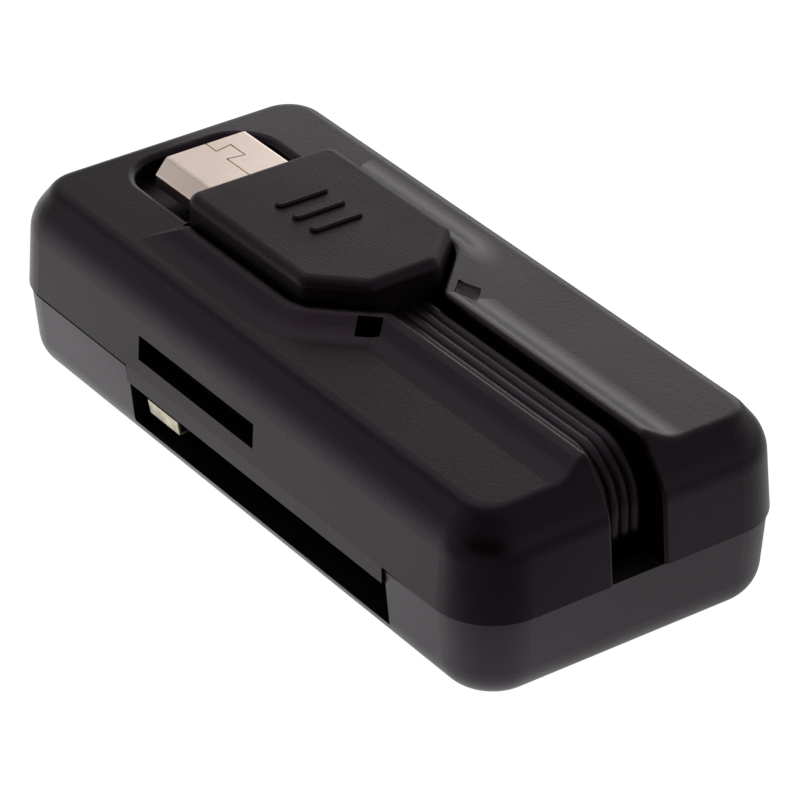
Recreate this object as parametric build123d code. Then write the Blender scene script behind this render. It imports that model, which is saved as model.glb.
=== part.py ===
from build123d import *
from math import radians, sin, tan
import os

os.makedirs("parts", exist_ok=True)

# Frame: +X runs from the plug tip to the bend of the lead, -Y is the side with
# the card slots, +Z is up, and the origin is the middle of the underside.

# Standard cards and plug
card_width = 24.0
card_pitch = 2.5
card_contact_count = 9
small_card_width = 11.0
small_card_pitch = 1.1
small_card_contact_count = 8
plug_width = 6.85
plug_height = 1.8
plug_sheet = 0.25

# Lengths along X
far_bay = 13.0
near_bay = 8.42
card_side_gap = 0.54
small_card_side_gap = 0.25
small_slot_setback = 1.3
tip_setback = 5.5
plug_reach = 5.45
grip_length = 14.5
lead_setback = 2.05

# Widths along Y
case_width = 20.85
grip_width = 10.0
pocket_gap = 0.3
pocket_front_gap = 0.15
recess_gap = 1.0
recess_end_gap = 2.4
groove_gap = 0.21

# Layers, from the underside up
floor_thickness = 1.55
card_slot_height = 2.82
tongue_drop = 1.03
block_height = 0.83
board_thickness = 0.8
small_slot_rise = 0.34
small_slot_height = 1.52
socket_height = 1.95
socket_gap = 0.25
pocket_floor_thickness = 0.75
grip_float = 0.25
grip_thickness = 4.45
grip_proud = 2.15
plug_drop = 0.9
lead_rise = 1.95

# Housing walls and rounds
wall = 1.1
inner_wall = 0.9
plan_radius = 3.6
upper_draft = 4.0
lower_draft = 4.9
shoulder_drop = 1.8
shoulder_draft = 38.0
shoulder_round = 2.8
top_round = 0.9
bottom_round = 2.2
inner_chamfer = 1.2
parting_step = 0.12
rim_rise = 0.75
rim_crest = 0.55
rim_slope = 62.0
rim_setback = 1.4
ramp_angle = 25.0
crest_round = 1.0
toe_round = 3.0
toe_length = 0.8
lip_round = 0.25
bay_corner = 0.7
funnel_angle = 45.0
funnel_round = 2.2
recess_corner = 2.6
recess_round = 0.45
tongue_gap = 0.05
lip_height = 0.8
lip_thickness = 0.6
lip_gap = 0.1
rail_thickness = 0.8
post_diameter = 2.6
pin_diameter = 1.0
pin_gap = 0.1
pin_rise = 0.6
window_width = 1.25
window_length = 1.4
window_depth = 1.6
window_advance = 0.2
window_shift = 1.6
fillet_share = 0.95

# Plug details
grip_chamfer = 2.8
grip_round = 0.6
grip_corner = 0.9
grip_under = 0.4
bar_setback = 6.1
bar_count = 3
bar_length = 3.4
bar_width = 0.7
bar_height = 0.2
bar_pitch = 1.7
plug_crease = 0.775
plug_crease_drop = 0.9
plug_seat = 4.5
plug_fit = 0.02
seam_width = 0.09
seam_depth = 0.12
seam_key = 1.1
seam_dovetail = 0.2
tongue_thickness = 0.6
tongue_setback = 0.6
plug_contact_count = 5
plug_contact_pitch = 0.65
plug_contact_width = 0.4
plug_contact_height = 0.1
latch_height = 0.35
latch_length = 1.1
latch_lead = 0.28
latch_flat = 0.22
latch_width = 0.6
latch_spread = 1.9
latch_setback = 1.2

# Lead
core_count = 4
core_sides = 12
core_diameter = 0.86
core_pitch = 0.68
bend_radius = 2.9
curl_radius = 1.1
lead_floor_gap = 0.37
lead_entry = 6.2
wire_diameter = 0.4
wire_landing = 2.2

# Board and the pieces on it
board_gap = 0.35
board_corner = 1.0
notch_gap = 0.3
notch_reach = 1.0
chip_size = 6.0
chip_height = 0.9
crystal_length = 3.2
crystal_width = 2.5
crystal_height = 0.75
chip_part_length = 1.0
chip_part_width = 0.5
chip_part_height = 0.5
chip_part_pitch = 1.6
chip_part_count = 3
chip_setback = 3.875
crystal_setback = 5.875
capacitor_setback = 3.275
resistor_setback = 1.675
block_depth = 4.0
contact_thickness = 0.15
contact_width = 0.8
contact_reach = 2.6
contact_dip = 0.75
contact_hook = 0.5
block_lip = 0.3
block_groove = 0.1
spring_width = 3.0
spring_setback = 1.45
spring_length = 3.0
spring_front_gap = 0.12
spring_drop = 1.45
spring_hook = 0.35
spring_foot = 1.5
spring_sheet = 0.2
socket_depth = 12.4
socket_front_gap = 0.3
cover_sheet = 0.2
socket_rear = 1.9
small_contact_width = 0.6
small_contact_rise = 0.5
small_contact_flat = 1.6
small_contact_reach = 2.0

# Places worked out from the sizes above
card_slot_width = card_width + 2 * card_side_gap
case_length = far_bay + card_slot_width + near_bay
far_end = -case_length / 2
near_end = case_length / 2
slot_start = far_end + far_bay
slot_end = slot_start + card_slot_width
slot_middle = (slot_start + slot_end) / 2
small_slot_width = small_card_width + 2 * small_card_side_gap
small_slot_middle = slot_start + small_slot_setback + small_slot_width / 2

slot_top = floor_thickness + card_slot_height
parting = slot_top + tongue_drop
board_bottom = slot_top + block_height
board_top = board_bottom + board_thickness
small_slot_bottom = board_top + small_slot_rise
socket_top = board_top + socket_height
pocket_floor = socket_top + socket_gap + pocket_floor_thickness
grip_bottom = pocket_floor + grip_float
grip_top = grip_bottom + grip_thickness
case_top = grip_top - grip_proud
knee = case_top - shoulder_drop
knee_corner = plan_radius - (knee - parting) * tan(radians(upper_draft))
top_corner = knee_corner - shoulder_drop * tan(radians(shoulder_draft))
plug_top = grip_top - plug_drop
plug_bottom = plug_top - plug_height

tip_x = far_end + tip_setback
grip_front = tip_x + plug_reach
grip_rear = grip_front + grip_length

core_radius = core_diameter / 2
lead_width = (core_count - 1) * core_pitch + core_diameter
lead_z = grip_bottom + lead_rise
drop_x = near_end - lead_setback
bend_x = drop_x - bend_radius
bend_z = lead_z - bend_radius
curl_z = parting + core_radius + lead_floor_gap
curl_x = drop_x - curl_radius
lead_inner_x = curl_x - (lead_entry - curl_radius)

groove_half = lead_width / 2 + groove_gap
groove_floor = lead_z - core_radius - lead_floor_gap
slot_back = drop_x - core_radius - lead_floor_gap
pocket_half = grip_width / 2 + pocket_gap
recess_half = plug_width / 2 + recess_gap
recess_floor = plug_bottom - latch_height - lead_floor_gap
recess_end = tip_x - recess_end_gap
funnel_shift = tan(radians(funnel_angle / 2))
funnel_run = 1 / tan(radians(funnel_angle))
funnel_start = grip_rear - grip_chamfer + pocket_gap * funnel_shift
funnel_end = funnel_start + (pocket_half - groove_half) * funnel_run

inner_y = case_width / 2 - wall
post_x = [slot_start - (far_bay - wall) / 2, slot_end + (near_bay - wall) / 2]
post_y = inner_y - post_diameter
post_places = [(x, y) for x in post_x for y in (-post_y, post_y)]
sky = grip_top + case_top

board_inset = wall + lip_gap + lip_thickness + board_gap
board_half = case_width / 2 - board_inset
notch_x = lead_inner_x - notch_reach
notch_half = groove_half + inner_wall + notch_gap
wire_reach = notch_reach + wire_landing
chip_x = (small_slot_middle + small_slot_width / 2 + notch_x) / 2
block_front = board_half - block_depth
contact_z = slot_top + block_groove
socket_front = socket_front_gap - inner_y
socket_back = socket_front + socket_depth
shell_rear = grip_front + plug_seat
bar_x = grip_front + bar_setback
fit_zero = 0.001


def spread(count, pitch, middle):
    """Evenly spaced places about a middle."""
    return [middle + (i - (count - 1) / 2) * pitch for i in range(count)]


card_contact_places = spread(card_contact_count, card_pitch, slot_middle)


def block(x0, x1, y0, y1, z0, z1):
    """A box between two corners."""
    return Pos((x0 + x1) / 2, (y0 + y1) / 2, (z0 + z1) / 2) * Box(x1 - x0, y1 - y0, z1 - z0)


def plan(inset, facing):
    """The housing's rounded plan outline at the parting line, drawn in by inset."""
    outline = RectangleRounded(case_length - 2 * inset, case_width - 2 * inset, plan_radius - inset)
    return Plane((0, 0, parting), x_dir=(1, 0, 0), z_dir=(0, 0, facing)) * outline


def rod(diameter, x, y, z0, z1):
    """An upright cylinder."""
    return Pos(x, y, (z0 + z1) / 2) * Cylinder(diameter / 2, z1 - z0)


def corners_at(face, *places):
    """The corners of a flat face that lie at the given places along its X."""
    return [corner for corner in face.vertices() if min(abs(corner.X - x) for x in places) < fit_zero]


def upper_body(inset, top):
    """A drafted body above the parting line."""
    return extrude(plan(inset, 1), top - parting, taper=upper_draft)


def lower_body(inset, bottom):
    """A drafted body below the parting line."""
    return extrude(plan(inset, -1), parting - bottom, taper=lower_draft)


def upper_form(top):
    """The upper half's outer form: drafted walls that bend in to a sloping shoulder."""
    form = upper_body(0, knee)
    form += extrude(form.faces().sort_by(Axis.Z)[-1], top - knee, taper=shoulder_draft)
    edges = [edge for edge in form.edges() if abs(edge.center().Z - knee) < fit_zero]
    return fillet(edges, min(shoulder_round, fillet_share * knee_corner))


def top_edges(shape):
    """The edges where the sloping shoulder meets the top and the ends of the rim."""
    tilt = sin(radians(shoulder_draft))
    shoulders = [face for face in shape.faces() if abs(face.normal_at().Z - tilt) < fit_zero]
    edges = [edge for face in shoulders for edge in face.edges()]
    return [edge for edge in edges if edge.bounding_box().min.Z > case_top - fit_zero]


def lower_form():
    """The lower half's outer form, rounded along its bottom."""
    corner = plan_radius - parting_step - parting * tan(radians(lower_draft))
    edges = lower_body(parting_step, 0).faces().sort_by(Axis.Z)[0].edges()
    return fillet(edges, min(bottom_round, fillet_share * corner))


def pocket_outline(grow):
    """The grip's bay, its funnel and the groove, grown sideways by grow."""
    shift = grow * funnel_shift
    front = grip_front - pocket_front_gap - grow
    upper = [
        (front, pocket_half + grow),
        (funnel_start + shift, pocket_half + grow),
        (funnel_end + shift, groove_half + grow),
        (slot_back, groove_half + grow),
    ]
    return [(x, -y) for x, y in upper] + upper[::-1]


def rim_section():
    """Half of the rim's end view, across from the edge of the bay or the groove."""
    crest_z = case_top + rim_rise
    toe = rim_crest + rim_rise * tan(radians(rim_slope))
    tip = toe + toe_length
    slope = [(toe, case_top), (rim_crest, crest_z)]
    points = [(-wall, knee), (tip, knee), (tip, case_top), *slope, (-wall, crest_z)]
    section = make_face(Polyline(*points, close=True))
    section = fillet(corners_at(section, rim_crest), crest_round)
    return fillet(corners_at(section, toe), toe_round)


def make_rim():
    """The raised rim round the bay and the groove, from a ramp to the near end's shoulder."""
    foot = grip_front + rim_setback - rim_rise / tan(radians(ramp_angle))
    turn = FilletPolyline(
        (foot, pocket_half),
        (funnel_start, pocket_half),
        (funnel_end, groove_half),
        radius=funnel_round,
    )
    path = turn + Line((funnel_end, groove_half), (near_end + wall, groove_half))
    across = Plane((foot, pocket_half, 0), x_dir=(0, 1, 0), z_dir=(1, 0, 0))
    side = sweep(across * rim_section(), path=path, transition=Transition.RIGHT)
    rim = side + mirror(side, about=Plane.XZ)
    ramp = Pos(0, 0, case_length / 2) * Box(case_length, case_width, case_length)
    rim -= Pos(foot, 0, case_top) * Rot(0, -ramp_angle, 0) * ramp
    return rim & upper_form(case_top + rim_rise)


def make_openings():
    """What the upper shell leaves open for the grip, the plug and the lead."""
    bay = make_face(Polyline(*pocket_outline(0), close=True))
    bay = fillet(corners_at(bay, funnel_start), funnel_round)
    bay = fillet(corners_at(bay, grip_front - pocket_front_gap, funnel_end), bay_corner)
    bay = extrude(Plane.XY.offset(pocket_floor) * bay, sky - pocket_floor)
    bay -= block(funnel_end, near_end, -pocket_half, pocket_half, 0, groove_floor)
    recess_length = grip_front - recess_end + recess_corner
    recess = RectangleRounded(recess_length, 2 * recess_half, recess_corner)
    recess = Pos(recess_end + recess_length / 2, 0, recess_floor) * recess
    recess = extrude(recess, sky - recess_floor)
    throat = block(slot_back, near_end + wall, -groove_half, groove_half, parting - wall, sky)

    # The lead bends over a rounded corner between the groove and the end slot
    arc = bend_radius - core_radius - lead_floor_gap
    corner = block(bend_x, slot_back, -groove_half, groove_half, bend_z, groove_floor)
    corner -= Pos(bend_x, 0, bend_z) * Rot(90, 0, 0) * Cylinder(arc, 2 * pocket_half)
    return bay + recess + throat + corner


def make_hollow():
    """The inside of the upper shell, less the walls round the bay, groove and end slot."""
    hollow = upper_body(wall, case_top - wall)
    hollow = chamfer(hollow.faces().sort_by(Axis.Z)[-1].edges(), inner_chamfer)
    bay_box = make_face(Polyline(*pocket_outline(inner_wall), close=True))
    bay_box = Plane.XY.offset(socket_top + socket_gap) * bay_box
    hollow -= extrude(bay_box, sky)
    side = recess_half + inner_wall
    hollow -= block(recess_end - inner_wall, grip_front, -side, side, recess_floor - inner_wall, sky)
    side = groove_half + inner_wall
    hollow -= block(slot_back - inner_wall, near_end, -side, side, parting, sky)
    for x, y in post_places:
        hollow -= rod(post_diameter, x, y, board_top, sky)
    return hollow


def edges_along(shape, half, z):
    """The edges that run along X on both sides of the middle at a height."""
    edges = shape.edges().filter_by(Axis.X)
    edges = [edge for edge in edges if abs(edge.center().Z - z) < fit_zero]
    return [edge for edge in edges if abs(abs(edge.center().Y) - half) < fit_zero]


def make_upper_shell():
    """The upper half of the housing."""
    shell = upper_form(case_top) + make_rim() - make_openings()
    shell = fillet(top_edges(shell), min(top_round, fillet_share * top_corner))
    shell = fillet(edges_along(shell, groove_half, case_top + rim_rise), lip_round)
    shell = fillet(edges_along(shell, recess_half, case_top), recess_round)
    shell -= make_hollow()
    for x, y in post_places:
        shell -= rod(pin_diameter + 2 * pin_gap, x, y, 0, board_top + pin_rise + pin_gap)
    entry_top = curl_z + core_radius + lead_floor_gap
    shell -= block(slot_back - 2 * inner_wall, slot_back, -groove_half, groove_half, parting, entry_top)
    for side in (-1, 1):
        place = Pos(funnel_end + window_advance, side * (groove_half + window_shift), case_top)
        turn = Rot(0, 0, -side * funnel_angle)
        shell -= place * turn * Box(window_length, window_width, 2 * window_depth)
    half = small_slot_width / 2
    shell -= block(small_slot_middle - half, small_slot_middle + half, -case_width,
                   -inner_y + wall, small_slot_bottom, small_slot_bottom + small_slot_height)
    tongue = block(slot_start + tongue_gap, slot_end - tongue_gap, -case_width / 2,
                   -inner_y, slot_top, parting)
    return shell + tongue


def make_lower_shell():
    """The lower half of the housing, with card rails, board posts and a locating lip."""
    shell = lower_form() - lower_body(parting_step + wall, floor_thickness)
    outer_lip = extrude(plan(wall + lip_gap, 1), lip_height)
    outer_lip += extrude(plan(wall + lip_gap, -1), lip_height)
    inner_lip = extrude(plan(wall + lip_gap + lip_thickness, 1), lip_height)
    inner_lip += extrude(plan(wall + lip_gap + lip_thickness, -1), lip_height)
    lip = outer_lip - inner_lip
    side = groove_half + inner_wall + lip_gap
    lip -= block(slot_back - inner_wall, near_end, -side, side, parting, sky)
    shell += lip
    for x in (slot_start - rail_thickness, slot_end):
        shell += block(x, x + rail_thickness, -inner_y, inner_y, floor_thickness - lip_gap, board_bottom)
    for x, y in post_places:
        shell += rod(post_diameter, x, y, floor_thickness - wall, board_bottom)
        shell += rod(pin_diameter, x, y, board_bottom, board_top + pin_rise)
    return shell - block(slot_start, slot_end, -case_width, -inner_y + wall, floor_thickness, sky)


def make_board():
    """The circuit board, notched at the end where the lead comes in."""
    half_x = case_length / 2 - board_inset
    board = RectangleRounded(2 * half_x, 2 * board_half, board_corner)
    board -= Pos(half_x, 0) * Rectangle(2 * (half_x - notch_x), 2 * notch_half)
    for x, y in post_places:
        board -= Pos(x, y) * Circle(pin_diameter / 2 + pin_gap)
    return extrude(Pos(0, 0, board_bottom) * board, board_thickness)


def on_board(length, width, height, x, y):
    """A box that stands on the board."""
    return Pos(x, y, board_top + height / 2) * Box(length, width, height)


def make_row(y):
    """A row of chip parts along X."""
    places = spread(chip_part_count, chip_part_pitch, chip_x)
    return [on_board(chip_part_length, chip_part_width, chip_part_height, x, y) for x in places]


def strip(points, width, x):
    """A bent metal strip, drawn as a side view in the YZ plane."""
    line = Plane.YZ.offset(x - width / 2) * make_face(Polyline(*points, close=True))
    return extrude(line, width)


def make_card_block():
    """The insulator that carries the large card's contacts under the board."""
    body = block(slot_middle - card_width / 2, slot_middle + card_width / 2,
                 block_front, block_front + block_depth, slot_top - block_lip, board_bottom)
    for x in card_contact_places:
        half = contact_width / 2 + pin_gap
        body -= block(x - half, x + half, -case_width, case_width, slot_top - block_lip, contact_z)
    return body


def make_card_contact(x):
    """One spring that wipes a pad of the large card."""
    back = block_front + block_depth
    top = contact_z
    tip = block_front - contact_reach
    low = top - contact_dip
    points = [
        (back, top),
        (block_front, top),
        (tip, low),
        (tip - contact_hook, low + contact_hook),
        (tip - contact_hook, low + contact_hook - contact_thickness),
        (tip, low - contact_thickness),
        (block_front, top - contact_thickness),
        (back, top - contact_thickness),
    ]
    return strip(points, contact_width, x)


def make_card_spring():
    """The gold leaf that presses on a large card just inside its slot."""
    front = -inner_y + spring_front_gap
    back = front + spring_length
    low = slot_top - spring_drop
    foot = board_bottom
    t = spring_sheet
    points = [
        (back + spring_foot, foot),
        (back, foot),
        (front + spring_hook, low),
        (front, low + spring_hook),
        (front, low + spring_hook - t),
        (front + spring_hook, low - t),
        (back, foot - t),
        (back + spring_foot, foot - t),
    ]
    return strip(points, spring_width, slot_start + spring_setback + spring_width / 2)


def make_small_base():
    """The small card socket's insulator: a floor with a wall at the back."""
    half = small_slot_width / 2
    x0 = small_slot_middle - half
    x1 = small_slot_middle + half
    floor = block(x0, x1, socket_front, socket_back, board_top, small_slot_bottom)
    back = block(x0, x1, socket_back - socket_rear, socket_back, board_top, socket_top - cover_sheet)
    return floor + back


def make_small_cover():
    """The folded metal cover over the small card socket."""
    half = small_slot_width / 2 + cover_sheet
    x0 = small_slot_middle - half
    x1 = small_slot_middle + half
    cover = block(x0, x1, socket_front, socket_back, board_top, socket_top)
    return cover - block(x0 + cover_sheet, x1 - cover_sheet, -case_width, case_width,
                         0, socket_top - cover_sheet)


def make_small_contact(x):
    """One spring that wipes a pad of the small card."""
    back = socket_back - socket_rear
    floor = small_slot_bottom
    t = cover_sheet / 2
    bend = back - small_contact_flat
    tip = bend - small_contact_reach
    points = [
        (back, floor),
        (bend, floor),
        (tip, floor + small_contact_rise),
        (tip, floor + small_contact_rise + t),
        (bend, floor + t),
        (back, floor + t),
    ]
    return strip(points, small_contact_width, x)


def plug_section(shrink):
    """The plug shell's end view: full width below, drawn in above the creases."""
    half = plug_width / 2 - shrink
    top_half = plug_width / 2 - plug_crease - shrink / 2
    top = plug_top - shrink
    bottom = plug_bottom + shrink
    shoulder = plug_top - plug_crease_drop
    upper = [(half, bottom), (half, shoulder), (top_half, top)]
    return make_face(Polyline(*upper, *[(-y, z) for y, z in reversed(upper)], close=True))


def plug_prism(shrink, x0, x1):
    """The plug's section drawn out between two places along X."""
    return extrude(Plane.YZ.offset(x0) * plug_section(shrink), x1 - x0)


def make_plug_shell():
    """The formed metal shell, with its dovetailed seam on top."""
    shell = plug_prism(0, tip_x, shell_rear)
    shell = fillet(shell.edges().filter_by(Axis.X), plug_sheet)
    shell -= plug_prism(plug_sheet, tip_x - wall, shell_rear + wall)
    key = seam_key
    line = Polyline(
        (tip_x - wall, 0),
        (tip_x + key, 0),
        (tip_x + key - seam_dovetail, key),
        (tip_x + 2 * key + seam_dovetail, key),
        (tip_x + 2 * key, 0),
        (grip_front, 0),
    )
    seam = Pos(0, 0, plug_top - seam_depth) * trace(line, seam_width)
    return shell - extrude(seam, seam_depth * 2)


def make_plug_grip():
    """The grip moulded over the back of the plug, with plain grip bars on top."""
    half = grip_width / 2
    shoulder = grip_rear - grip_chamfer
    upper = [(grip_front, half), (shoulder, half), (grip_rear, half - grip_chamfer / funnel_run)]
    points = [(x, -y) for x, y in upper] + upper[::-1]
    outline = make_face(Polyline(*points, close=True))
    outline = fillet(outline.vertices(), grip_corner)
    grip = extrude(Pos(0, 0, grip_bottom) * outline, grip_thickness)
    grip = fillet(grip.faces().sort_by(Axis.Z)[-1].edges(), min(grip_round, fillet_share * grip_corner))
    grip = chamfer(grip.faces().sort_by(Axis.Z)[0].edges(), grip_under)
    for x in spread(bar_count, bar_pitch, bar_x):
        bar = SlotOverall(bar_length, bar_width, rotation=90)
        bar = extrude(Pos(x, 0, grip_top - bar_height) * bar, 2 * bar_height)
        grip += chamfer(bar.faces().sort_by(Axis.Z)[-1].edges(), bar_height / 2)
    return grip - plug_prism(-plug_fit, grip_front - wall, shell_rear)


def make_plug_tongue():
    """The insulator inside the plug shell: a blade in front and a full block behind."""
    inner = plug_sheet + plug_fit
    filled = plug_prism(inner, tip_x + tongue_setback, shell_rear)
    blade_top = plug_bottom + inner + tongue_thickness
    return filled - block(tip_x, grip_front, -plug_width, plug_width, blade_top, sky)


def make_plug_contact(y):
    """One flat contact on the plug's blade."""
    z = plug_bottom + plug_sheet + plug_fit + tongue_thickness
    return block(tip_x + 2 * tongue_setback, grip_front, y - plug_contact_width / 2,
                 y + plug_contact_width / 2, z, z + plug_contact_height)


def make_latch(y):
    """One sprung hook under the plug shell."""
    points = [
        (0, 0),
        (latch_length, 0),
        (latch_lead + latch_flat, -latch_height),
        (latch_lead, -latch_height),
    ]
    hook = make_face(Polyline(*points, close=True))
    hook = extrude(Plane.XZ * hook, latch_width / 2, both=True)
    return Pos(tip_x + latch_setback, y, plug_bottom) * hook


def lead_section():
    """The lead's end view: cores side by side, joined into one flat ribbon."""
    section = Sketch()
    for x in spread(core_count, core_pitch, 0):
        section += Pos(x, 0) * RegularPolygon(core_radius, core_sides)
    return section


def make_lead_run():
    """The straight lead in the groove, from the grip to the bend."""
    return extrude(Plane((grip_rear, 0, lead_z), x_dir=(0, 1, 0), z_dir=(1, 0, 0)) * lead_section(),
                   bend_x - grip_rear)


def make_lead_bend():
    """The quarter turn from the groove down into the end slot."""
    start = Plane((bend_x, 0, lead_z), x_dir=(0, 1, 0), z_dir=(1, 0, 0)) * lead_section()
    return revolve(start, Axis((bend_x, 0, bend_z), (0, 1, 0)), 90)


def make_lead_root():
    """The lead from the end slot, curling in under the groove to the board."""
    top = curl_z + curl_radius
    drop = Plane((drop_x, 0, bend_z), x_dir=(0, 1, 0), z_dir=(0, 0, -1)) * lead_section()
    drop = extrude(drop, bend_z - top)
    turn = Plane((drop_x, 0, top), x_dir=(0, 1, 0), z_dir=(0, 0, -1)) * lead_section()
    turn = revolve(turn, Axis((curl_x, 0, top), (0, 1, 0)), 90)
    tail = Plane((curl_x, 0, curl_z), x_dir=(0, 1, 0), z_dir=(-1, 0, 0)) * lead_section()
    return drop + turn + extrude(tail, curl_x - lead_inner_x)


def make_lead_wire(y):
    """One bare wire from the lead to its pad on the board."""
    start = Pos(lead_inner_x, y, board_top + wire_diameter / 2)
    return start * Rot(0, -90, 0) * Pos(0, 0, wire_reach / 2) * Cylinder(wire_diameter / 2, wire_reach)


def group(solids):
    """Like pieces kept in one node as separate solids."""
    return Compound(children=[Solid(solid.solids()[0].wrapped) for solid in solids])


nodes = {
    "upper_shell": make_upper_shell(),
    "lower_shell": make_lower_shell(),
    "circuit_board": make_board(),
    "controller_chip": on_board(chip_size, chip_size, chip_height, chip_x, chip_setback - board_half),
    "crystal": on_board(
        crystal_length, crystal_width, crystal_height, chip_x, board_half - crystal_setback
    ),
    "capacitors": group(make_row(board_half - capacitor_setback)),
    "resistors": group(make_row(board_half - resistor_setback)),
    "card_block": make_card_block(),
    "card_contacts": group([make_card_contact(x) for x in card_contact_places]),
    "card_spring": make_card_spring(),
    "small_card_base": make_small_base(),
    "small_card_cover": make_small_cover(),
    "small_card_contacts": group([
        make_small_contact(x)
        for x in spread(small_card_contact_count, small_card_pitch, small_slot_middle)
    ]),
    "plug_grip": make_plug_grip(),
    "plug_shell": make_plug_shell(),
    "plug_tongue": make_plug_tongue(),
    "plug_contacts": group([
        make_plug_contact(y) for y in spread(plug_contact_count, plug_contact_pitch, 0)
    ]),
    "plug_latches": group([make_latch(y) for y in (-latch_spread, latch_spread)]),
    "lead_run": make_lead_run(),
    "lead_bend": make_lead_bend(),
    "lead_root": make_lead_root(),
    "lead_wires": group([make_lead_wire(y) for y in spread(core_count, core_pitch, 0)]),
}

for name, shape in nodes.items():
    export_step(shape, f"parts/{name}.step")
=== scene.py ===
from math import cos, pi, radians, sin, tan

import bpy
from mathutils import Matrix, Vector


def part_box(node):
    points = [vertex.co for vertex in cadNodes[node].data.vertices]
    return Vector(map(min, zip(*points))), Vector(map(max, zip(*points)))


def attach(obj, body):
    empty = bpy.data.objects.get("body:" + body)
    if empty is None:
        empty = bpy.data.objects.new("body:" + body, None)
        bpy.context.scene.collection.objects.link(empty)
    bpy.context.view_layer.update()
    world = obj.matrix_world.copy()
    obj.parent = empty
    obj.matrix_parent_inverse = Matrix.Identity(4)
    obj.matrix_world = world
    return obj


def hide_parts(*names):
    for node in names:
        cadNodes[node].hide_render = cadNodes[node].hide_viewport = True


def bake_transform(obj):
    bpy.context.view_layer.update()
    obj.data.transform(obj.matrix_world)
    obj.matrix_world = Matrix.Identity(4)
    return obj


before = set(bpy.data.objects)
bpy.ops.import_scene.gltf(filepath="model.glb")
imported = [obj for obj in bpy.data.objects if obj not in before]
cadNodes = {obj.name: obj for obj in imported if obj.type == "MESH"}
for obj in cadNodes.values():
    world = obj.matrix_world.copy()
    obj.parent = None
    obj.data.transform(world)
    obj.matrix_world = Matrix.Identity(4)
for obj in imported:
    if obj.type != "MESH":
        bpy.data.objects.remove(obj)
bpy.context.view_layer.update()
mm = 0.001
smoothAngle = radians(40)
print("frame loaded:", len(cadNodes), "nodes")


# node helpers

def newMaterial(name):
    material = bpy.data.materials.new(name)
    material.use_nodes = True
    tree = material.node_tree
    tree.nodes.clear()
    output = tree.nodes.new("ShaderNodeOutputMaterial")
    shader = tree.nodes.new("ShaderNodeBsdfPrincipled")
    tree.links.new(shader.outputs["BSDF"], output.inputs["Surface"])
    return material, tree, shader


def newGroup(name, inputs, outputs):
    group = bpy.data.node_groups.new(name, "ShaderNodeTree")
    for label, kind, value in inputs:
        socket = group.interface.new_socket(label, in_out="INPUT", socket_type=kind)
        if value is not None:
            socket.default_value = value
    for label, kind in outputs:
        group.interface.new_socket(label, in_out="OUTPUT", socket_type=kind)
    return group, group.nodes.new("NodeGroupInput"), group.nodes.new("NodeGroupOutput")


def addNode(tree, kind, **settings):
    node = tree.nodes.new(kind)
    for key, value in settings.items():
        setattr(node, key, value)
    return node


def addMath(tree, operation, first, second):
    node = addNode(tree, "ShaderNodeMath", operation=operation)
    for socket, value in zip(node.inputs, (first, second)):
        if isinstance(value, (int, float)):
            socket.default_value = value
        else:
            tree.links.new(value, socket)
    return node.outputs[0]


def addRange(tree, source, low, high, outLow, outHigh):
    node = addNode(tree, "ShaderNodeMapRange")
    tree.links.new(source, node.inputs["Value"])
    for label, value in (("From Min", low), ("From Max", high), ("To Min", outLow), ("To Max", outHigh)):
        node.inputs[label].default_value = value
    return node.outputs["Result"]


def addDot(tree, vector, toward):
    node = addNode(tree, "ShaderNodeVectorMath", operation="DOT_PRODUCT")
    tree.links.new(vector, node.inputs[0])
    node.inputs[1].default_value = toward
    return node.outputs["Value"]


def addNoise(tree, vector, scale, detail, roughness=0.5):
    node = addNode(tree, "ShaderNodeTexNoise")
    tree.links.new(vector, node.inputs["Vector"])
    if isinstance(scale, (int, float)):
        node.inputs["Scale"].default_value = scale
    else:
        tree.links.new(scale, node.inputs["Scale"])
    node.inputs["Detail"].default_value = detail
    node.inputs["Roughness"].default_value = roughness
    return node.outputs["Fac"]


def mixColour(tree, mask, first, second):
    node = addNode(tree, "ShaderNodeMix", data_type="RGBA")
    tree.links.new(mask, node.inputs["Factor"])
    node.inputs[6].default_value = (*first, 1)
    node.inputs[7].default_value = (*second, 1)
    return node.outputs[2]


# effects that several finishes share

def makeGrainGroup():
    group, inside, outside = newGroup(
        "mouldGrain",
        [("Vector", "NodeSocketVector", None), ("Fine Scale", "NodeSocketFloat", 6000.0),
         ("Coarse Scale", "NodeSocketFloat", 2500.0), ("Coarse Share", "NodeSocketFloat", 0.5)],
        [("Height", "NodeSocketFloat"), ("Speckle", "NodeSocketFloat")])
    vector = inside.outputs["Vector"]
    fine = addNoise(group, vector, inside.outputs["Fine Scale"], 2.0, 0.6)
    coarse = addNoise(group, vector, inside.outputs["Coarse Scale"], 1.0)
    share = inside.outputs["Coarse Share"]
    coarsePart = addMath(group, "MULTIPLY", coarse, share)
    finePart = addMath(group, "MULTIPLY", fine, addMath(group, "SUBTRACT", 1.0, share))
    group.links.new(addMath(group, "ADD", coarsePart, finePart), outside.inputs["Height"])
    group.links.new(addRange(group, fine, 0.35, 0.7, 0.0, 1.0), outside.inputs["Speckle"])
    return group


def makeSmudgeGroup():
    group, inside, outside = newGroup(
        "smudge",
        [("Vector", "NodeSocketVector", None), ("Scale", "NodeSocketFloat", 160.0)],
        [("Mask", "NodeSocketFloat")])
    soft = addNoise(group, inside.outputs["Vector"], inside.outputs["Scale"], 3.0)
    group.links.new(addRange(group, soft, 0.35, 0.68, 0.0, 1.0), outside.inputs["Mask"])
    return group


grainGroup = makeGrainGroup()
smudgeGroup = makeSmudgeGroup()


def placeGroup(tree, group, vector, values):
    node = addNode(tree, "ShaderNodeGroup", node_tree=group)
    tree.links.new(vector, node.inputs["Vector"])
    for label, value in values.items():
        node.inputs[label].default_value = value
    return node


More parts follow.
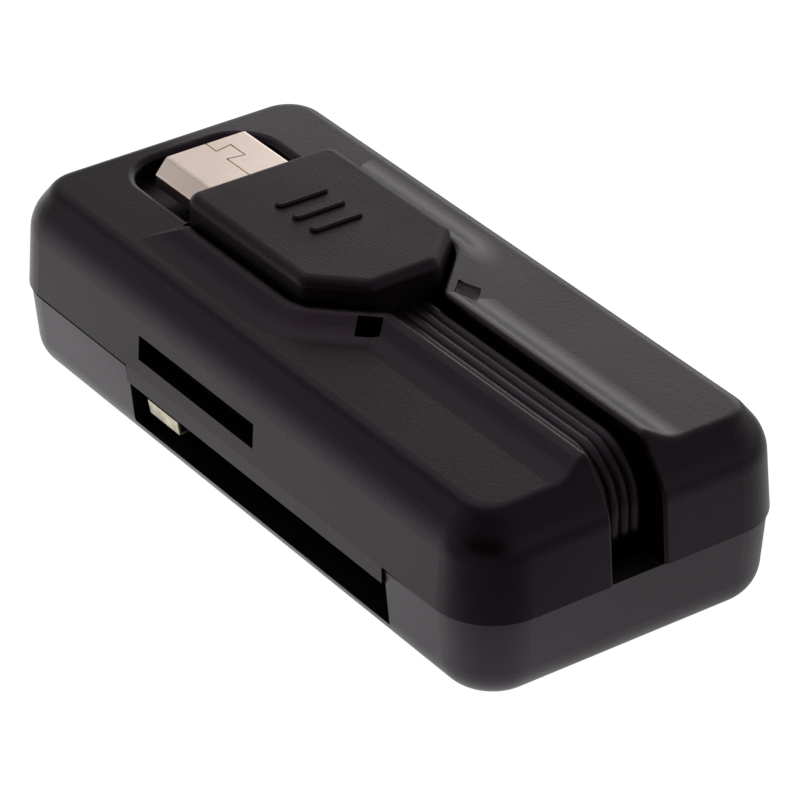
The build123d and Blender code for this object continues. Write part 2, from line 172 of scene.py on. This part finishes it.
def objectCoordinates(tree):
    return addNode(tree, "ShaderNodeTexCoord").outputs["Object"]


def addBump(tree, shader, height, strength, distance):
    bump = addNode(tree, "ShaderNodeBump")
    bump.inputs["Strength"].default_value = strength
    bump.inputs["Distance"].default_value = distance
    tree.links.new(height, bump.inputs["Height"])
    tree.links.new(bump.outputs["Normal"], shader.inputs["Normal"])
    return bump


# stands in, by shading alone, for the slight crown of the moulded top

def addCrown(tree, bump, vector, look):
    split = addNode(tree, "ShaderNodeSeparateXYZ")
    tree.links.new(vector, split.inputs[0])
    square = addMath(tree, "MULTIPLY", split.outputs["Y"], split.outputs["Y"])
    across = addMath(tree, "SQRT", addMath(tree, "ADD", square, look["ridge"] ** 2), 0.0)
    crown = addNode(tree, "ShaderNodeBump")
    crown.inputs["Strength"].default_value = 1.0
    crown.inputs["Distance"].default_value = 1.0
    fall = -tan(radians(look["slope"]))
    tree.links.new(addMath(tree, "MULTIPLY", across, fall), crown.inputs["Height"])
    tree.links.new(crown.outputs["Normal"], bump.inputs["Normal"])


# painted shadow of the parting gap on the card side, by shading alone: black metallic colour along the
# line

def addPaintedSeamShadow(tree, shader, vector, tone, rough, seam):
    split = addNode(tree, "ShaderNodeSeparateXYZ")
    tree.links.new(vector, split.inputs[0])
    line = addMath(tree, "GREATER_THAN", split.outputs["Z"], seam["top"] - seam["width"])
    past = addMath(tree, "GREATER_THAN", split.outputs["X"], seam["start"] - seam["width"])
    before = addMath(tree, "LESS_THAN", split.outputs["X"], seam["end"] + seam["width"] / 2)
    above = addMath(tree, "GREATER_THAN", split.outputs["Z"], seam["slotTop"])
    step = addMath(tree, "MULTIPLY", addMath(tree, "MULTIPLY", past, before), above)
    side = addRange(tree, split.outputs["Y"], seam["sideStart"], seam["sideFull"], 0.0, 1.0)
    fade = addRange(tree, split.outputs["X"], seam["fadeStart"], seam["fadeEnd"], 1.0, 0.0)
    shown = addMath(tree, "MULTIPLY", side, fade)
    mask = addMath(tree, "MULTIPLY", addMath(tree, "MAXIMUM", line, step), shown)
    shade = addNode(tree, "ShaderNodeMix", data_type="RGBA")
    tree.links.new(mask, shade.inputs["Factor"])
    tree.links.new(tone, shade.inputs[6])
    shade.inputs[7].default_value = (0, 0, 0, 1)
    tree.links.new(shade.outputs[2], shader.inputs["Base Color"])
    tree.links.new(addMath(tree, "MAXIMUM", rough, mask), shader.inputs["Roughness"])
    tree.links.new(mask, shader.inputs["Metallic"])


# finishes

def mouldedFinish(name, look):
    material, tree, shader = newMaterial(name)
    vector = objectCoordinates(tree)
    grain = placeGroup(tree, grainGroup, vector, {
        "Fine Scale": look["fineScale"],
        "Coarse Scale": look["coarseScale"],
        "Coarse Share": look["coarseShare"],
    })
    smudge = placeGroup(tree, smudgeGroup, vector, {"Scale": look["smudgeScale"]})
    tone = mixColour(tree, grain.outputs["Speckle"], look["dark"], look["light"])
    tree.links.new(tone, shader.inputs["Base Color"])
    rough = addRange(tree, smudge.outputs["Mask"], 0.0, 1.0, *look["roughness"])
    tree.links.new(rough, shader.inputs["Roughness"])
    shader.inputs["Specular IOR Level"].default_value = look["specular"]
    shader.inputs["Specular Tint"].default_value = (*look["tint"], 1)
    bump = addBump(tree, shader, grain.outputs["Height"], look["bump"], look["bumpDepth"])
    if "crown" in look:
        addCrown(tree, bump, vector, look["crown"])
    # the lower shell gets a painted shadow along its parting line
    if "seam" in look:
        addPaintedSeamShadow(tree, shader, vector, tone, rough, look["seam"])
    return material


def metalFinish(name, look):
    material, tree, shader = newMaterial(name)
    mapping = addNode(tree, "ShaderNodeMapping")
    mapping.inputs["Scale"].default_value = look["streak"]
    vector = objectCoordinates(tree)
    tree.links.new(vector, mapping.inputs["Vector"])
    streaks = addNoise(tree, mapping.outputs["Vector"], 1.0, 3.0, 0.6)
    smudge = placeGroup(tree, smudgeGroup, vector, {"Scale": look["smudgeScale"]})
    tone = mixColour(tree, smudge.outputs["Mask"], look["dark"], look["light"])
    tree.links.new(tone, shader.inputs["Base Color"])
    rough = addRange(tree, streaks, 0.3, 0.7, *look["roughness"])
    tree.links.new(rough, shader.inputs["Roughness"])
    shader.inputs["Metallic"].default_value = 1.0
    addBump(tree, shader, streaks, look["bump"], look["bumpDepth"])
    return material


upperLook = {
    "dark": (0.0012, 0.0005, 0.0011), "light": (0.0024, 0.0013, 0.0022), "roughness": (0.3, 0.36),
    "specular": 0.26, "tint": (1.0, 0.72, 0.94), "fineScale": 5600.0, "coarseScale": 2600.0,
    "coarseShare": 0.4, "smudgeScale": 130.0, "bump": 0.34, "bumpDepth": 0.04 * mm,
    "crown": {"slope": 2.7, "ridge": 1.2 * mm},
}
lowerLook = {
    "dark": (0.0030, 0.0020, 0.0028), "light": (0.0050, 0.0038, 0.0048), "roughness": (0.36, 0.44),
    "specular": 0.58, "tint": (1.0, 0.86, 1.0), "fineScale": 7200.0, "coarseScale": 2800.0,
    "coarseShare": 0.4, "smudgeScale": 150.0, "bump": 0.2, "bumpDepth": 0.04 * mm,
    # painted shadow along the parting line, on the card side only
    "seam": {"top": 5.4 * mm, "width": 0.28 * mm, "sideStart": -6.5 * mm, "sideFull": -9.8 * mm,
             "start": -10.25 * mm, "end": 14.83 * mm, "slotTop": 4.37 * mm,
             "fadeStart": 13.0 * mm, "fadeEnd": 20.5 * mm},
}
gripLook = {
    "dark": (0.0014, 0.0006, 0.0010), "light": (0.0034, 0.0020, 0.0028), "roughness": (0.42, 0.5),
    "specular": 0.28, "tint": (1.0, 0.72, 0.9), "fineScale": 9000.0, "coarseScale": 5200.0,
    "coarseShare": 0.6, "smudgeScale": 200.0, "bump": 0.42, "bumpDepth": 0.06 * mm,
}
leadLook = {
    "dark": (0.0012, 0.0005, 0.0011), "light": (0.0024, 0.0013, 0.0022), "roughness": (0.34, 0.42),
    "specular": 0.32, "tint": (1.0, 0.72, 0.94), "fineScale": 9000.0, "coarseScale": 1800.0,
    "coarseShare": 0.3, "smudgeScale": 260.0, "bump": 0.1, "bumpDepth": 0.03 * mm,
}
insulatorLook = {
    "dark": (0.006, 0.005, 0.006), "light": (0.010, 0.009, 0.010), "roughness": (0.5, 0.6),
    "specular": 0.3, "tint": (1.0, 1.0, 1.0), "fineScale": 8000.0, "coarseScale": 3000.0,
    "coarseShare": 0.5, "smudgeScale": 300.0, "bump": 0.15, "bumpDepth": 0.03 * mm,
}
resinLook = {
    "dark": (0.016, 0.016, 0.017), "light": (0.024, 0.024, 0.026), "roughness": (0.55, 0.65),
    "specular": 0.35, "tint": (1.0, 1.0, 1.0), "fineScale": 9000.0, "coarseScale": 4000.0,
    "coarseShare": 0.5, "smudgeScale": 300.0, "bump": 0.2, "bumpDepth": 0.02 * mm,
}
ceramicLook = {
    "dark": (0.46, 0.34, 0.22), "light": (0.55, 0.42, 0.28), "roughness": (0.5, 0.62),
    "specular": 0.4, "tint": (1.0, 1.0, 1.0), "fineScale": 9000.0, "coarseScale": 4000.0,
    "coarseShare": 0.5, "smudgeScale": 500.0, "bump": 0.1, "bumpDepth": 0.02 * mm,
}
boardLook = {
    "dark": (0.02, 0.12, 0.05), "light": (0.03, 0.17, 0.07), "roughness": (0.28, 0.4),
    "specular": 0.5, "tint": (1.0, 1.0, 1.0), "fineScale": 4000.0, "coarseScale": 1500.0,
    "coarseShare": 0.6, "smudgeScale": 220.0, "bump": 0.15, "bumpDepth": 0.03 * mm,
}
nickelLook = {
    "dark": (0.84, 0.69, 0.60), "light": (0.92, 0.77, 0.68), "roughness": (0.27, 0.33),
    "streak": (900.0, 14000.0, 14000.0), "smudgeScale": 260.0, "bump": 0.02, "bumpDepth": 0.01 * mm,
}
sheetLook = {
    "dark": (0.58, 0.58, 0.57), "light": (0.68, 0.68, 0.67), "roughness": (0.28, 0.38),
    "streak": (9000.0, 500.0, 9000.0), "smudgeScale": 220.0, "bump": 0.04, "bumpDepth": 0.01 * mm,
}
goldLook = {
    "dark": (0.78, 0.62, 0.33), "light": (0.87, 0.74, 0.45), "roughness": (0.3, 0.42),
    "streak": (8000.0, 500.0, 8000.0), "smudgeScale": 400.0, "bump": 0.04, "bumpDepth": 0.01 * mm,
}
copperLook = {
    "dark": (0.72, 0.42, 0.27), "light": (0.82, 0.52, 0.36), "roughness": (0.3, 0.42),
    "streak": (500.0, 8000.0, 8000.0), "smudgeScale": 400.0, "bump": 0.04, "bumpDepth": 0.01 * mm,
}
leafLook = {
    "dark": (0.44, 0.40, 0.30), "light": (0.66, 0.61, 0.49), "roughness": (0.34, 0.5),
    "streak": (1400.0, 2600.0, 2600.0), "smudgeScale": 1500.0, "bump": 0.25, "bumpDepth": 0.03 * mm,
}

upperFinish = mouldedFinish("upperPlastic", upperLook)
goldFinish = metalFinish("paleGold", goldLook)
nodeFinishes = {
    upperFinish: ["upper_shell"],
    mouldedFinish("lowerPlastic", lowerLook): ["lower_shell"],
    mouldedFinish("gripPlastic", gripLook): ["plug_grip"],
    mouldedFinish("insulator", insulatorLook): ["card_block", "small_card_base", "plug_tongue"],
    mouldedFinish("chipResin", resinLook): ["controller_chip", "resistors"],
    mouldedFinish("firedCeramic", ceramicLook): ["capacitors"],
    mouldedFinish("boardMask", boardLook): ["circuit_board"],
    metalFinish("warmNickel", nickelLook): ["plug_shell", "plug_latches"],
    metalFinish("tinnedSheet", sheetLook): ["small_card_cover", "crystal"],
    goldFinish: ["card_contacts", "small_card_contacts", "plug_contacts"],
    metalFinish("tinnedCopper", copperLook): ["lead_wires"],
}
for finish, names in nodeFinishes.items():
    for name in names:
        for slot in cadNodes[name].material_slots:
            slot.material = finish
print("finishes on the solid pieces done")


# flat ribbed lead, from the grip through the groove, down the end slot and in to the board

leadShape = {
    "cores": 4, "coreDiameter": 0.86 * mm, "corePitch": 0.68 * mm, "coreSides": 32, "valleyLift": 1.3,
    "bendRadius": 2.9 * mm, "curlRadius": 1.1 * mm, "weld": 0.01 * mm, "ringWeld": 0.005 * mm,
    "runSteps": 24, "bendSteps": 20, "dropSteps": 2, "curlSteps": 10, "tailSteps": 4,
}


def selectNothing():
    if bpy.context.mode != "OBJECT":
        bpy.ops.object.mode_set(mode="OBJECT")
    bpy.ops.object.select_all(action="DESELECT")


def selectPoints(piece, wanted):
    bpy.ops.mesh.select_mode(type="VERT")
    bpy.ops.mesh.select_all(action="DESELECT")
    bpy.ops.object.mode_set(mode="OBJECT")
    for vertex in piece.data.vertices:
        vertex.select = wanted(vertex.co)
    bpy.ops.object.mode_set(mode="EDIT")


def makeCoreOutline(place, shape, first, last):
    radius = shape["coreDiameter"] / 2
    bpy.ops.mesh.primitive_circle_add(
        vertices=shape["coreSides"], radius=radius, location=place, rotation=(0, pi / 2, 0))
    core = bpy.context.object
    bpy.ops.object.transform_apply(location=True, rotation=True, scale=True)
    bpy.ops.object.mode_set(mode="EDIT")
    for side, outermost in ((-1, first), (1, last)):
        if outermost:
            continue
        bpy.ops.mesh.select_all(action="SELECT")
        cut = (place.x, place.y + side * shape["corePitch"] / 2, place.z)
        bpy.ops.mesh.bisect(plane_co=cut, plane_no=(0, side, 0), clear_outer=True)
    bpy.ops.object.mode_set(mode="OBJECT")
    return core


def extrudeRun(step, count):
    for _ in range(count):
        bpy.ops.mesh.extrude_region_move(TRANSFORM_OT_translate={"value": step})


def makeLead(shape):
    runLow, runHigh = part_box("lead_run")
    rootLow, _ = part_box("lead_root")
    radius = shape["coreDiameter"] / 2
    start = Vector((runLow.x, 0, (runLow.z + runHigh.z) / 2))
    selectNothing()
    cores = []
    for i in range(shape["cores"]):
        y = (i - (shape["cores"] - 1) / 2) * shape["corePitch"]
        place = Vector((start.x, y, start.z))
        cores.append(makeCoreOutline(place, shape, i == 0, i == shape["cores"] - 1))
        bpy.ops.object.select_all(action="DESELECT")
    for core in cores:
        core.select_set(True)
    bpy.context.view_layer.objects.active = cores[0]
    bpy.ops.object.join()
    lead = bpy.context.object
    lead.name = "flatLead"
    bpy.ops.object.mode_set(mode="EDIT")
    bpy.ops.mesh.select_all(action="SELECT")
    bpy.ops.mesh.remove_doubles(threshold=shape["weld"])
    cuts = [(i - shape["cores"] / 2) * shape["corePitch"] for i in range(1, shape["cores"])]
    selectPoints(lead, lambda point: any(abs(point.y - cut) < shape["weld"] for cut in cuts))
    bpy.ops.transform.resize(value=(1, 1, shape["valleyLift"]), center_override=start)
    bpy.ops.mesh.select_all(action="SELECT")
    run = (runHigh.x - runLow.x) / shape["runSteps"]
    extrudeRun((run, 0, 0), shape["runSteps"])
    bend = shape["bendRadius"]
    bpy.ops.mesh.spin(steps=shape["bendSteps"], angle=-pi / 2, axis=(0, 1, 0),
                      center=(runHigh.x, 0, start.z - bend))
    curl = shape["curlRadius"]
    drop = (start.z - bend) - (rootLow.z + radius + curl)
    extrudeRun((0, 0, -drop / shape["dropSteps"]), shape["dropSteps"])
    dropX = runHigh.x + bend
    bpy.ops.mesh.spin(steps=shape["curlSteps"], angle=-pi / 2, axis=(0, 1, 0),
                      center=(dropX - curl, 0, rootLow.z + radius + curl))
    inward = dropX - curl - rootLow.x
    extrudeRun((-inward / shape["tailSteps"], 0, 0), shape["tailSteps"])
    bpy.ops.mesh.select_all(action="SELECT")
    bpy.ops.mesh.remove_doubles(threshold=shape["ringWeld"])
    bpy.ops.mesh.select_all(action="DESELECT")
    bpy.ops.mesh.select_non_manifold()
    bpy.ops.mesh.fill_holes(sides=0)
    bpy.ops.mesh.select_all(action="SELECT")
    bpy.ops.mesh.normals_make_consistent(inside=False)
    bpy.ops.object.mode_set(mode="OBJECT")
    bpy.ops.object.shade_smooth_by_angle(angle=smoothAngle)
    lead.data.materials.clear()
    lead.data.materials.append(mouldedFinish("leadJacket", leadLook))
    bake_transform(lead)
    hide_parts("lead_run", "lead_bend", "lead_root")
    return lead


flatLead = makeLead(leadShape)
print("lead done:", len(flatLead.data.polygons), "faces")


# gold leaf in the mouth of the large card slot, with its front lip turned up

springShape = {
    "width": 3.0 * mm, "sheet": 0.2 * mm, "edge": 0.04 * mm, "edgeSteps": 2,
    "profile": [(-4.705, 5.1), (-6.205, 5.1), (-8.9, 2.82), (-9.72, 2.86), (-9.88, 3.72)],
}


def makeSpring(shape):
    low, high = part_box("card_spring")
    middle = (low.x + high.x) / 2
    points = [Vector((middle, y * mm, z * mm)) for y, z in shape["profile"]]
    selectNothing()
    bpy.ops.mesh.primitive_plane_add(size=shape["width"], location=points[0])
    leaf = bpy.context.object
    leaf.name = "cardSpring"
    bpy.ops.object.transform_apply(location=True, rotation=True, scale=True)
    bpy.ops.object.mode_set(mode="EDIT")
    selectPoints(leaf, lambda point: point.y > points[0].y)
    bpy.ops.mesh.delete(type="VERT")
    selectPoints(leaf, lambda point: True)
    bpy.ops.transform.translate(value=(0, shape["width"] / 2, 0))
    for here, there in zip(points, points[1:]):
        bpy.ops.mesh.extrude_region_move(TRANSFORM_OT_translate={"value": there - here})
    bpy.ops.mesh.select_all(action="SELECT")
    bpy.ops.mesh.normals_make_consistent(inside=False)
    bpy.ops.object.mode_set(mode="OBJECT")
    wall = leaf.modifiers.new("sheet", "SOLIDIFY")
    wall.thickness = shape["sheet"]
    wall.offset = 0
    wall.use_even_offset = True
    bpy.ops.object.modifier_apply(modifier=wall.name)
    soft = leaf.modifiers.new("edges", "BEVEL")
    soft.width = shape["edge"]
    soft.segments = shape["edgeSteps"]
    bpy.ops.object.modifier_apply(modifier=soft.name)
    bpy.ops.object.shade_smooth_by_angle(angle=smoothAngle)
    leaf.data.materials.clear()
    leaf.data.materials.append(metalFinish("paleLeaf", leafLook))
    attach(leaf, "housing")
    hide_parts("card_spring")
    return leaf


cardSpring = makeSpring(springShape)
print("card spring done:", len(cardSpring.data.polygons), "faces")


# floor of the right window, just below the top

windowShape = {
    "place": (3.364 * mm, 3.26 * mm), "length": 1.39 * mm, "width": 1.24 * mm, "turn": -45.0,
    "low": 10.6 * mm, "top": 11.57 * mm, "riseBack": 0.16 * mm, "riseInside": 0.38 * mm,
    "inset": 0.2 * mm, "dish": 0.06 * mm, "edgeSteps": 3,
}


def makeWindowFloor(shape):
    selectNothing()
    height = shape["top"] - shape["low"]
    bpy.ops.mesh.primitive_cube_add(size=1, location=(*shape["place"], shape["low"] + height / 2),
                                    rotation=(0, 0, radians(shape["turn"])))
    fill = bpy.context.object
    fill.name = "windowFloor"
    fill.scale = (shape["length"], shape["width"], height)
    bpy.ops.object.transform_apply(location=True, rotation=True, scale=True)
    bpy.ops.object.mode_set(mode="EDIT")
    half = shape["low"] + height / 2
    x, y = shape["place"]
    selectPoints(fill, lambda point: point.z > half and point.x - x < point.y - y)
    bpy.ops.transform.translate(value=(0, 0, shape["riseBack"]))
    selectPoints(fill, lambda point: point.z > half and point.x - x < y - point.y)
    bpy.ops.transform.translate(value=(0, 0, shape["riseInside"]))
    selectPoints(fill, lambda point: point.z > half)
    bpy.ops.mesh.select_mode(type="FACE")
    bpy.ops.mesh.inset(thickness=shape["inset"], depth=0)
    bpy.ops.transform.translate(value=(0, 0, -shape["dish"]))
    bpy.ops.mesh.bevel(offset=shape["inset"] / 2, segments=shape["edgeSteps"], affect="EDGES")
    bpy.ops.object.mode_set(mode="OBJECT")
    bpy.ops.object.shade_smooth_by_angle(angle=smoothAngle)
    fill.data.materials.clear()
    fill.data.materials.append(upperFinish)
    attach(fill, "housing")
    return fill


windowFloor = makeWindowFloor(windowShape)
print("window floor done:", len(windowFloor.data.polygons), "faces")


# camera at the photograph's angle

cameraView = {
    "azimuth": 55.488, "elevation": 31.531, "roll": -0.63, "distance": 257.085 * mm,
    "aimHeight": 5.898 * mm, "right": 0.864 * mm, "up": -1.232 * mm, "lens": 209.875, "sensor": 36.0,
    "clipNear": 0.01, "clipFar": 10.0,
}


def makeCamera(view):
    azimuth, elevation, roll = (radians(view[key]) for key in ("azimuth", "elevation", "roll"))
    back = Vector((sin(azimuth) * cos(elevation), -cos(azimuth) * cos(elevation), sin(elevation)))
    level = Vector((cos(azimuth), sin(azimuth), 0))
    upright = back.cross(level)
    right = level * cos(roll) + upright * sin(roll)
    up = upright * cos(roll) - level * sin(roll)
    place = right * view["right"] + up * view["up"] + back * view["distance"]
    place += Vector((0, 0, view["aimHeight"]))
    bpy.ops.object.camera_add()
    camera = bpy.context.object
    camera.data.lens = view["lens"]
    camera.data.sensor_width = view["sensor"]
    camera.data.clip_start = view["clipNear"]
    camera.data.clip_end = view["clipFar"]
    axes = Matrix((right, up, back)).transposed().to_4x4()
    camera.matrix_world = Matrix.Translation(place) @ axes
    bpy.context.scene.camera = camera


selectNothing()
makeCamera(cameraView)
print("camera done")


# studio: pale floor that glows, soft lamps and a soft surround

floorLook = {
    "size": 3.0, "drop": 0.02 * mm, "tone": (0.9, 0.9, 0.9), "roughness": 0.9, "specular": 0.1,
    "glow": 0.9, "seenGlow": 1.1,
    "toward": (-0.62, -0.78, 0.0), "near": -20 * mm, "far": 10 * mm, "nearGlow": 0.74, "farGlow": 1.22,
    "behindNear": 15 * mm, "behindFar": 60 * mm, "behindGlow": 0.35,
    "front": (0.75, -0.66, 0.0), "frontNear": 22 * mm, "frontFar": 33 * mm, "frontGlow": 0.32,
}
lampSet = {
    "backRight": {"toward": (-0.61, 0.71, 0.33), "distance": 0.5, "size": 0.34, "power": 0.28},
    "overhead": {"toward": (-0.42, 0.02, 0.9), "distance": 0.6, "size": 0.5, "power": 0.4},
}
surround = {"low": 0.85, "high": 0.45, "lowAngle": 3.0, "highAngle": 33.0,
            "toward": (0.58, -0.76, 0.25), "core": 26.0, "edge": 48.0,
            "shade": 1.0, "clearAngle": 22.0, "openAngle": 32.0, "openShade": 0.4}


def makeFloor(look):
    bpy.ops.mesh.primitive_plane_add(size=look["size"], location=(0, 0, -look["drop"]))
    floor = bpy.context.object
    floor.name = "floor"
    material, tree, shader = newMaterial("paleFloor")
    output = shader.outputs["BSDF"].links[0].to_node
    shader.inputs["Base Color"].default_value = (*look["tone"], 1)
    shader.inputs["Roughness"].default_value = look["roughness"]
    shader.inputs["Specular IOR Level"].default_value = look["specular"]
    glow = addNode(tree, "ShaderNodeEmission")
    place = objectCoordinates(tree)
    split = addNode(tree, "ShaderNodeSeparateXYZ")
    tree.links.new(place, split.inputs[0])
    # the glow seen in reflections is graded: a painted pool of light toward -X -Y, painted shade toward
    # +Y and in front toward the camera
    across = addRange(tree, addDot(tree, place, look["toward"]), look["near"], look["far"],
                      look["nearGlow"], look["farGlow"])
    behind = addRange(tree, split.outputs["Y"], look["behindNear"], look["behindFar"],
                      1.0, look["behindGlow"])
    ahead = addRange(tree, addDot(tree, place, look["front"]), look["frontNear"], look["frontFar"],
                     1.0, look["frontGlow"])
    paintedFloorLight = addMath(tree, "MULTIPLY", addMath(tree, "MULTIPLY", across, behind), ahead)
    rays = addNode(tree, "ShaderNodeLightPath")
    level = addNode(tree, "ShaderNodeMix")
    tree.links.new(rays.outputs["Is Camera Ray"], level.inputs["Factor"])
    tree.links.new(paintedFloorLight, level.inputs["A"])
    level.inputs["B"].default_value = look["seenGlow"]
    tree.links.new(level.outputs["Result"], glow.inputs["Strength"])
    seen = addMath(tree, "MAXIMUM", rays.outputs["Is Camera Ray"], rays.outputs["Is Glossy Ray"])
    seen = addMath(tree, "MAXIMUM", seen, rays.outputs["Is Transmission Ray"])
    mix = addNode(tree, "ShaderNodeMixShader")
    tree.links.new(addMath(tree, "MULTIPLY", seen, look["glow"]), mix.inputs[0])
    tree.links.new(shader.outputs["BSDF"], mix.inputs[1])
    tree.links.new(glow.outputs["Emission"], mix.inputs[2])
    tree.links.new(mix.outputs["Shader"], output.inputs["Surface"])
    floor.data.materials.append(material)


def makeLamp(name, look):
    toward = Vector(look["toward"]).normalized()
    bpy.ops.object.light_add(type="AREA", location=toward * look["distance"])
    lamp = bpy.context.object
    lamp.name = name
    lamp.data.shape = "DISK"
    lamp.data.size = look["size"]
    lamp.data.energy = look["power"]
    lamp.rotation_mode = "QUATERNION"
    lamp.rotation_quaternion = toward.to_track_quat("Z", "Y")


def makeSurround(look):
    world = bpy.data.worlds.new("softSurround")
    bpy.context.scene.world = world
    world.use_nodes = True
    tree = world.node_tree
    tree.nodes.clear()
    output = addNode(tree, "ShaderNodeOutputWorld")
    background = addNode(tree, "ShaderNodeBackground")
    direction = addNode(tree, "ShaderNodeTexCoord").outputs["Generated"]
    facing = addDot(tree, direction, Vector(look["toward"]).normalized())
    lobe = addRange(tree, facing, cos(radians(look["edge"])), cos(radians(look["core"])), 0.0, 1.0)
    split = addNode(tree, "ShaderNodeSeparateXYZ")
    tree.links.new(direction, split.inputs[0])
    angles = ("clearAngle", "openAngle", "lowAngle", "highAngle")
    clear, opened, low, high = (sin(radians(look[key])) for key in angles)
    shade = addRange(tree, split.outputs["Z"], clear, opened, look["shade"], look["openShade"])
    lit = addMath(tree, "SUBTRACT", 1.0, addMath(tree, "MULTIPLY", lobe, shade))
    level = addRange(tree, split.outputs["Z"], low, high, look["low"], look["high"])
    tree.links.new(addMath(tree, "MULTIPLY", lit, level), background.inputs["Strength"])
    tree.links.new(background.outputs["Background"], output.inputs["Surface"])


makeFloor(floorLook)
for name, look in lampSet.items():
    makeLamp(name, look)
makeSurround(surround)
bpy.context.scene.view_settings.view_transform = "Standard"
print("studio done")
